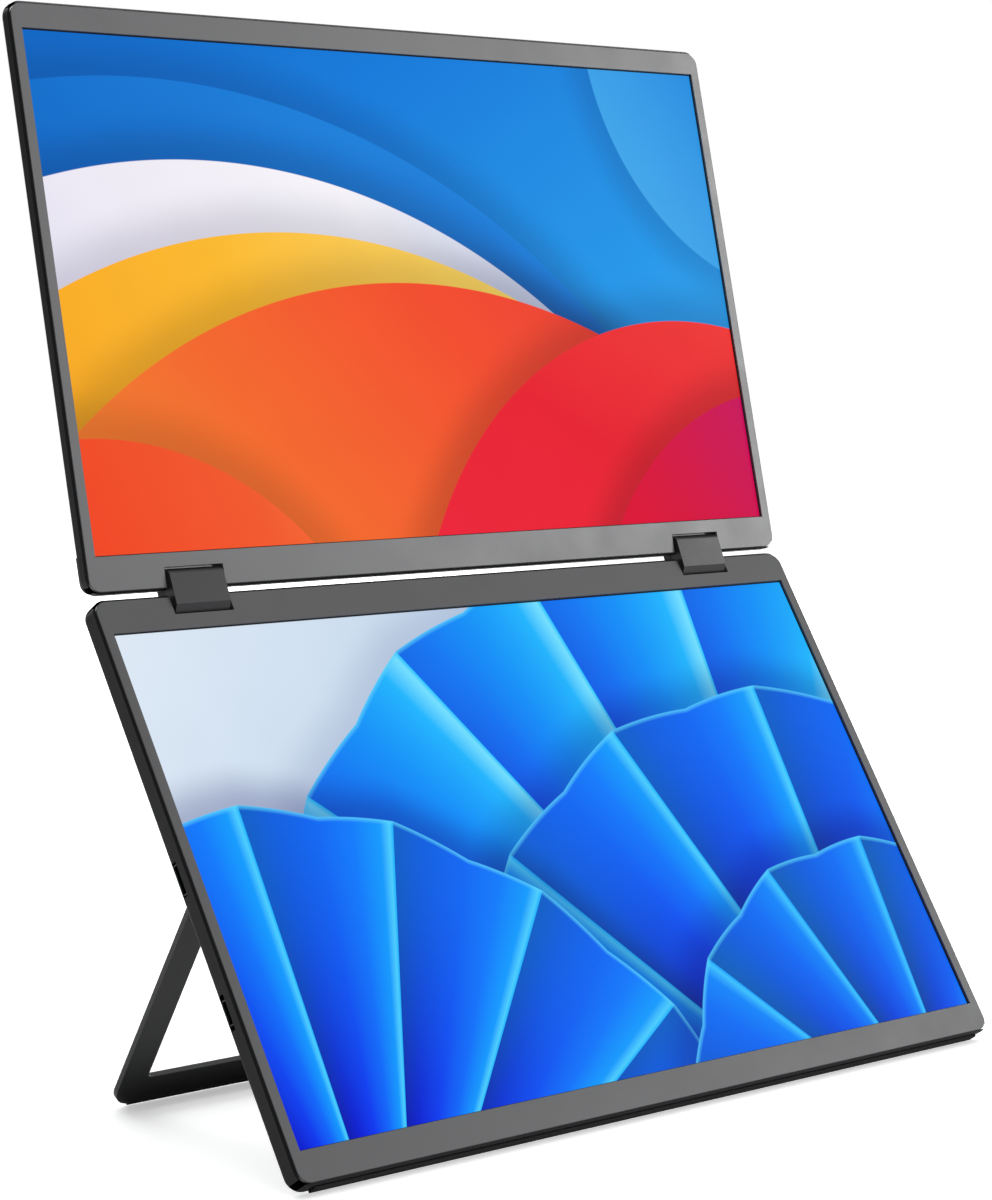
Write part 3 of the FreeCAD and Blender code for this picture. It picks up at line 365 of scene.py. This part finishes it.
def lower_picture():
    """Two pleated paper fans in blues, with a pale corner at the upper left."""
    k = NT("screen_lower")
    x, y, p = screen_axes(k, LOW, 11.4)

    def fan(col, cx, cy, r, pleats, turn, stops, shadow=0.3, wob=0.0):
        rel = k.vec("SUBTRACT", p, (cx, cy, 0))
        sep = k.node("ShaderNodeSeparateXYZ", {0: rel})
        ang = k.math("ARCTAN2", sep.outputs["Y"], sep.outputs["X"])
        step = k.math("FRACT", k.math("ADD", k.math("MULTIPLY", ang, pleats), turn))
        d = k.vec("DISTANCE", p, (cx, cy, 0))
        zig = k.math("MULTIPLY", k.math("ABSOLUTE", k.math("SUBTRACT", step, 0.5)), wob)
        rr = k.math("ADD", zig, r)
        fall = k.ramp(k.math("SUBTRACT", d, rr), 0.0, 0.10, 1.0 - shadow, 1.0, smooth=True)
        tint = k.node("ShaderNodeCombineColor", {"Red": fall, "Green": fall, "Blue": k.ramp(fall, 0.0, 1.0, 0.25, 1.0)}).outputs[0]
        col = k.mix(1.0, col, tint, "MULTIPLY")
        body = k.stops(step, [(q, srgb(c)) for q, c in stops])
        glow = k.ramp(d, r - 0.70, r, 0.0, 0.30, smooth=True)
        body = k.mix(glow, body, srgb("#12a6ff"), "LIGHTEN")
        edge = k.ramp(k.math("SUBTRACT", rr, d), 0.0, 0.010, 0.8, 0.0)
        body = k.mix(edge, body, srgb("#5ad4ff"))
        m = k.ramp(k.math("SUBTRACT", d, rr), -0.0012, 0.0012, 1.0, 0.0, smooth=True)
        return k.mix(m, col, body)
    pale = k.stops(k.ramp(k.vec("DOT_PRODUCT", p, (0.8, -0.6, 0)), -0.6, 0.9), [(0.0, srgb("#dfeaf6")), (0.5, srgb("#c4d9ef")), (1.0, srgb("#9cc4ec"))])
    deep = [(0.0, "#0cb0ff"), (0.025, "#4ccfff"), (0.09, "#0a98ff"), (0.28, "#0664fb"), (0.52, "#0434f0"), (0.80, "#0210d2"), (1.0, "#020aa8")]
    dark = [(0.0, "#0c9cff"), (0.03, "#3cc4ff"), (0.12, "#0a78fb"), (0.36, "#0446f2"), (0.66, "#0214d6"), (1.0, "#02068c")]
    soft = [(0.0, "#0fc0ff"), (0.03, "#74e0ff"), (0.16, "#1eb6ff"), (0.5, "#0a8af8"), (0.8, "#0a5cf0"), (1.0, "#0a3ce0")]
    col = fan(pale, 1.34, -0.30, 1.38, 3.2, 0.30, soft, 0.20, 0.05)
    col = fan(col, 1.50, -0.42, 1.16, 2.6, 0.05, deep, 0.40, 0.05)
    col = fan(col, 0.10, -0.36, 0.98, 2.9, 0.55, deep, 0.44, 0.045)
    col = fan(col, 1.62, -0.34, 0.72, 2.4, 0.42, dark, 0.44, 0.04)
    return k, x, y, p, col


def lit_screen(made):
    k, x, y, p, col = made
    slow = k.ramp(k.noise(30.0, 2.0), 0.3, 0.7, 0.985, 1.01)
    grey = k.node("ShaderNodeCombineColor", {"Red": slow, "Green": slow, "Blue": slow}).outputs[0]
    col = k.mix(1.0, col, grey, "MULTIPLY")
    inside = frame_mask(k, x, y)
    col = k.mix(inside, (0.004, 0.004, 0.006), col)
    k.set(k.b.inputs["Emission Color"], col)
    k.b.inputs["Emission Strength"].default_value = 0.98
    k.set(k.b.inputs["Base Color"], k.mix(inside, (0.003, 0.003, 0.004), (0.004, 0.004, 0.005)))
    fine = k.noise(2200.0, 2.0)
    k.set(k.b.inputs["Roughness"], k.ramp(fine, 0.3, 0.7, 0.36, 0.44))
    k.b.inputs["Specular IOR Level"].default_value = 0.25
    k.b.inputs["IOR"].default_value = 1.10
    k.set(k.b.inputs["Normal"], k.bump(fine, 0.05, 0.000004))
    return k.m


# ---------------------------------------------------------------- materials
MAT = {
    "bezel": moulded("bezel_grey", (0.094, 0.094, 0.095), 0.38, 0.55, 1500.0, 0.000022, 0.30, 0.035, 0.04),
    # a darker copy of the bezel grey for the lower monitor: painted shade, standing in for the weaker light on the
    # lower bezel
    "bezel_low_painted_shade": moulded("bezel_grey_lower_painted_shade", (0.069, 0.069, 0.070), 0.41, 0.47, 1500.0, 0.000022, 0.30, 0.035, 0.04),
    "housing": moulded("housing_black", (0.0068, 0.0068, 0.0074), 0.46, 0.20, 1300.0, 0.00004, 0.42, 0.05, 0.03),
    "link": moulded("link_grey", (0.0195, 0.0195, 0.020), 0.40, 0.38, 1700.0, 0.00002, 0.28, 0.05, 0.05),
    "link_rear": moulded("link_dark", (0.010, 0.010, 0.0105), 0.42, 0.28, 1500.0, 0.00003, 0.35, 0.08, 0.05),
    "stand": moulded("stand_black", (0.020, 0.0205, 0.021), 0.37, 0.40, 2100.0, 0.000022, 0.32, 0.08, 0.06),
    "rubber": moulded("rubber_black", (0.010, 0.010, 0.0105), 0.78, 0.25, 900.0, 0.00006, 0.5, 0.12, 0.06, dust=0.05),
    "steel": metal("steel_ground", (0.56, 0.56, 0.57), 0.30),
    "tray": metal("tray_pressed", (0.60, 0.60, 0.61), 0.38, (30.0, 900.0, 900.0)),
    "black_steel": metal("screw_black", (0.055, 0.055, 0.06), 0.40, (900.0, 900.0, 900.0), 0.00001, 0.3, 0.07),
    "board": moulded("board_green", (0.014, 0.10, 0.045), 0.34, 0.5, 700.0, 0.00003, 0.35, 0.12, 0.06),
    "chip": moulded("chip_black", (0.018, 0.018, 0.019), 0.48, 0.4, 1900.0, 0.00002, 0.3, 0.08, 0.05),
    "ribbon": moulded("ribbon_amber", (0.42, 0.19, 0.035), 0.30, 0.5, 600.0, 0.00002, 0.25, 0.08, 0.05, coat=0.3),
    "guide": moulded("light_guide", (0.86, 0.88, 0.90), 0.16, 0.5, 500.0, 0.00001, 0.12, 0.01, 0.03),
    "reflector": moulded("reflector_white", (0.86, 0.86, 0.86), 0.42, 0.5, 700.0, 0.00001, 0.15, 0.01, 0.04),
    "led": moulded("led_white", (0.85, 0.84, 0.76), 0.35, 0.5, 900.0, 0.00001, 0.15, 0.03, 0.04),
    "speaker": moulded("speaker_black", (0.020, 0.020, 0.020), 0.62, 0.3, 1100.0, 0.00006, 0.5, 0.1, 0.06),
    "barrel": metal("barrel_steel", (0.34, 0.34, 0.35), 0.32, (200.0, 1500.0, 1500.0)),
    "port": metal("port_nickel", (0.10, 0.10, 0.105), 0.34, (400.0, 900.0, 900.0)),
    "ceramic": moulded("ceramic_tan", (0.30, 0.20, 0.12), 0.45, 0.4, 2400.0, 0.00001, 0.2, 0.15, 0.05),
    "slider": metal("slider_brass", (0.62, 0.46, 0.20), 0.30, (300.0, 1200.0, 1200.0)),
    "gold": metal("contact_gold", (0.86, 0.62, 0.24), 0.26, (500.0, 900.0, 900.0)),
    "screen_upper": lit_screen(upper_picture()),
    "screen_lower": lit_screen(lower_picture()),
}


def material_of(name):
    rules = (
        # the lower monitor's bezel takes the darker copy of the bezel grey, which is painted shade
        ("upper_lcd_glass", "screen_upper"), ("lower_lcd_glass", "screen_lower"), ("lower_front_bezel", "bezel_low_painted_shade"), ("front_bezel", "bezel"),
        ("rear_cover", "housing"), ("casing_screws", "black_steel"), ("bracket_screws", "steel"), ("link_screws", "black_steel"),
        ("foot_strip", "rubber"), ("rear_bumpers", "rubber"), ("foot_pad", "rubber"), ("kickstand_frame", "stand"),
        ("kickstand_pin", "steel"), ("link_front_shell", "link"), ("link_rear_shell", "link_rear"), ("hinge_bracket", "steel"),
        ("hinge_shaft", "steel"), ("friction_barrels", "barrel"), ("sync_slider", "slider"), ("light_guide", "guide"),
        ("reflector_sheet", "reflector"), ("led_strip", "led"), ("backlight_tray", "tray"), ("ribbon", "ribbon"),
        ("chips", "chip"), ("board", "board"), ("port", "port"), ("speaker", "speaker"), ("button", "housing"),
    )
    for part, key in rules:
        if part in name:
            return MAT[key]
    return MAT["housing"]


BEVEL = {
    "kickstand_frame": (0.45, 3), "kickstand_foot_pad": (0.15, 2), "lower_foot_strip": (0.25, 3), "upper_rear_bumpers": (0.35, 3),
    "power_button": (0.25, 3), "menu_button": (0.25, 3),
    "link_front_shell_left": (0.30, 3), "link_front_shell_right": (0.30, 3),
    "link_rear_shell_left": (0.30, 3), "link_rear_shell_right": (0.30, 3),
}

for name, o in nodes.items():
    m = material_of(name)
    if not o.material_slots:
        o.data.materials.append(m)
    for s in o.material_slots:
        s.material = m
    if name in BEVEL:
        w = o.modifiers.new("weld", "WELD")
        w.merge_threshold = 0.000002
        b = o.modifiers.new("bevel", "BEVEL")
        b.width, b.segments = BEVEL[name][0] * MM, BEVEL[name][1]
        b.limit_method, b.angle_limit = "ANGLE", math.radians(35)
        b.harden_normals = False
        n = o.modifiers.new("normals", "WEIGHTED_NORMAL")
        n.keep_sharp = True


# ---------------------------------------------------------------- pieces built here
def piece(name, bm, fr, mat, body=None):
    """Finishes a piece whose mesh is in a part's own frame, in millimetres."""
    for v in bm.verts:
        v.co = fr.at(*v.co)
    me = bpy.data.meshes.new(name)
    bm.to_mesh(me)
    bm.free()
    me.materials.append(MAT[mat])
    o = bpy.data.objects.new(name, me)
    scene.collection.objects.link(o)
    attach(o, body or fr.body)
    return o


def block(bm, x0, x1, y0, y1, z0, z1, edge=0.1, seg=2):
    """A block with rounded edges, added to bm."""
    part = bmesh.new()
    bmesh.ops.create_cube(part, size=1.0)
    for v in part.verts:
        v.co = Vector(((x0 + x1) / 2 + v.co.x * (x1 - x0), (y0 + y1) / 2 + v.co.y * (y1 - y0), (z0 + z1) / 2 + v.co.z * (z1 - z0)))
    if edge:
        bmesh.ops.bevel(part, geom=list(part.edges), offset=edge, segments=seg, profile=0.5, affect="EDGES")
    me = bpy.data.meshes.new("part")
    part.to_mesh(me)
    part.free()
    bm.from_mesh(me)
    bpy.data.meshes.remove(me)


def ring(bm, pts_out, pts_in, z_out, z_in, z_deep):
    """A picture-frame strip between two closed outlines, with a sloping inner lip."""
    n = len(pts_out)
    rows = []
    for pts, z in ((pts_out, z_deep), (pts_out, z_out), (pts_in, z_in), (pts_in, z_deep)):
        rows.append([bm.verts.new((x, y, z)) for x, y in pts])
    for a, b in zip(rows, rows[1:] + rows[:1]):
        for i in range(n):
            bm.faces.new((a[i], a[(i + 1) % n], b[(i + 1) % n], b[i]))


def rounded(x0, x1, y0, y1, r, seg=6):
    pts = []
    for cx, cy, a0 in ((x1 - r, y1 - r, 0), (x0 + r, y1 - r, 90), (x0 + r, y0 + r, 180), (x1 - r, y0 + r, 270)):
        for i in range(seg + 1):
            a = math.radians(a0 + 90 * i / seg)
            pts.append((cx + r * math.cos(a), cy + r * math.sin(a)))
    return pts


def make_details():
    # foam gasket between each picture's glass and the bezel's inner edge
    for name, fr, chin in (("lower_glass_gasket", LOW, 11.4), ("upper_glass_gasket", UPP, 12.9)):
        bm = bmesh.new()
        w, h = 172.08, 193.59
        ring(bm, rounded(-w - 0.24, w + 0.24, chin - 0.24, chin + h + 0.24, 0.3, 3), rounded(-w - 0.02, w + 0.02, chin - 0.02, chin + h + 0.02, 0.2, 3),
             -0.75, -1.12, -1.19)
        piece(name, bm, fr, "rubber")
    # contacts on the two connectors' tongues
    bm = bmesh.new()
    for i in range(6):
        y = 63.6 - 2.5 + i
        block(bm, -175.6, -171.2, y - 0.16, y + 0.16, -5.30, -5.24, 0.02, 1)
    piece("usb_c_contacts", bm, LOW, "gold")
    bm = bmesh.new()
    for i in range(9):
        y = 112.8 - 3.2 + 0.8 * i
        block(bm, -175.6, -171.2, y - 0.14, y + 0.14, -5.30, -5.24, 0.02, 1)
    piece("mini_hdmi_contacts", bm, LOW, "gold")
    # a fine mesh behind the upper vents and the two speaker grilles
    def mesh_patch(name, fr, x0, x1, y0, y1, z, step=1.1, wire=0.22):
        bm = bmesh.new()
        nx, ny = int((x1 - x0) / step), int((y1 - y0) / step)
        for i in range(nx + 1):
            x = x0 + (x1 - x0) * i / nx
            block(bm, x - wire / 2, x + wire / 2, y0, y1, z - wire, z, 0)
        for j in range(ny + 1):
            y = y0 + (y1 - y0) * j / ny
            block(bm, x0, x1, y - wire / 2, y + wire / 2, z - wire * 0.4, z + wire * 0.6, 0)
        return piece(name, bm, fr, "black_steel")
    mesh_patch("upper_vent_mesh", UPP, -50, 50, 69, 93, -7.06)
    mesh_patch("lower_grille_mesh_left", LOW, -118, -82.4, 30, 42, -6.78, 0.8, 0.10)
    mesh_patch("lower_grille_mesh_right", LOW, 82.4, 118, 30, 42, -6.78, 0.8, 0.10)
    # fine ribs along the stand's crossbar, where a finger pulls it out
    bm = bmesh.new()
    for i in range(11):
        x = -10 + 2 * i
        block(bm, x - 0.35, x + 0.35, -122.5, -117.0, -1.27, -1.10, 0.05, 2)
    piece("kickstand_grip_ribs", bm, KICK, "rubber")
    # solder joints and small parts on the boards
    bm = bmesh.new()
    for i in range(14):
        block(bm, -131 + 4.6 * i, -129.4 + 4.6 * i, 139.0 + (i % 3) * 2.6, 139.8 + (i % 3) * 2.6, -5.5, -5.05, 0.08, 1)
    for i in range(9):
        block(bm, -112 + 3.1 * i, -110.8 + 3.1 * i, 77.5, 79.3, -5.5, -4.9, 0.1, 1)
    piece("lower_board_small_parts", bm, LOW, "ceramic")
    bm = bmesh.new()
    for i in range(12):
        block(bm, -64 + 5.2 * i, -62.6 + 5.2 * i, 27.4 + (i % 2) * 2.2, 28.2 + (i % 2) * 2.2, -6.1, -5.6, 0.08, 1)
    piece("upper_board_small_parts", bm, UPP, "ceramic")


make_details()


# ---------------------------------------------------------------- floor
def make_floor():
    k = NT("studio_floor")
    slow = k.noise(2.0, 3.0)
    k.set(k.b.inputs["Base Color"], k.mix(k.ramp(slow, 0.3, 0.7), (0.93, 0.93, 0.935), (0.95, 0.95, 0.95)))
    k.set(k.b.inputs["Roughness"], k.ramp(slow, 0.3, 0.7, 0.86, 0.92))
    k.b.inputs["Specular IOR Level"].default_value = 0.1
    k.t.links.remove(k.out.inputs[0].links[0])
    glow = k.node("ShaderNodeEmission", {"Color": (1.0, 1.0, 1.0), "Strength": 0.42})
    both = k.node("ShaderNodeAddShader", {0: k.b.outputs[0], 1: glow.outputs[0]})
    for_eye = k.node("ShaderNodeMixShader", {0: k.node("ShaderNodeLightPath").outputs["Is Camera Ray"], 1: k.b.outputs[0], 2: both.outputs[0]})
    k.t.links.new(for_eye.outputs[0], k.out.inputs[0])
    me = bpy.data.meshes.new("floor")
    bm = bmesh.new()
    ring = [bm.verts.new((14 * math.cos(t * math.pi / 32), 14 * math.sin(t * math.pi / 32), -0.0002)) for t in range(64)]
    bm.faces.new(ring)
    bm.to_mesh(me)
    bm.free()
    o = bpy.data.objects.new("floor", me)
    me.materials.append(k.m)
    scene.collection.objects.link(o)


make_floor()
